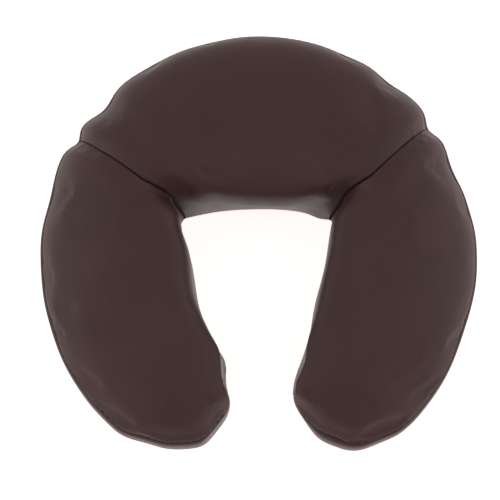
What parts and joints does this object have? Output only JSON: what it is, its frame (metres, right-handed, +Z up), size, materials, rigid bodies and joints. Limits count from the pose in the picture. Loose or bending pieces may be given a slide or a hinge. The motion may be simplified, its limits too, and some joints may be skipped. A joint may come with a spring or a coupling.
{
  "type": "face cradle cushion",
  "caption": "Horseshoe headrest pad for a massage table: a sewn leather cover over firm and soft foam, open in the middle for the face.",
  "frame": {"origin": "under the middle of the pad's bounding box, level with the underside of the loop tape that it rests on", "axes": "+Z up, out of the face the user lies on; +Y towards the crown that takes the forehead, so the arms point along -Y; +X to the right seen from above"},
  "size_m": [0.302, 0.297, 0.071],
  "materials": {
    "leather": "matte dark brown polyurethane leather",
    "base_fabric": "matte dark non-woven fabric",
    "thread": "dark brown polyester thread",
    "loop_tape": "black loop pile",
    "support_foam": "open-cell firm foam, pale grey",
    "comfort_foam": "open-cell soft foam, cream"
  },
  "bodies": {
    "root": {"support_foam": "support_foam", "comfort_foam": "comfort_foam", "crown_panel": "leather", "left_cheek_panel": "leather", "right_cheek_panel": "leather", "outer_band": "leather", "base_panel": "base_fabric", "outer_seam_stitches": "thread", "base_seam_stitches": "thread", "left_panel_seam_stitches": "thread", "right_panel_seam_stitches": "thread", "crown_loop_strip": "loop_tape", "left_arm_loop_strip": "loop_tape", "right_arm_loop_strip": "loop_tape", "crown_strip_stitches": "thread", "left_arm_strip_stitches": "thread", "right_arm_strip_stitches": "thread"}
  },
  "joints": []
}
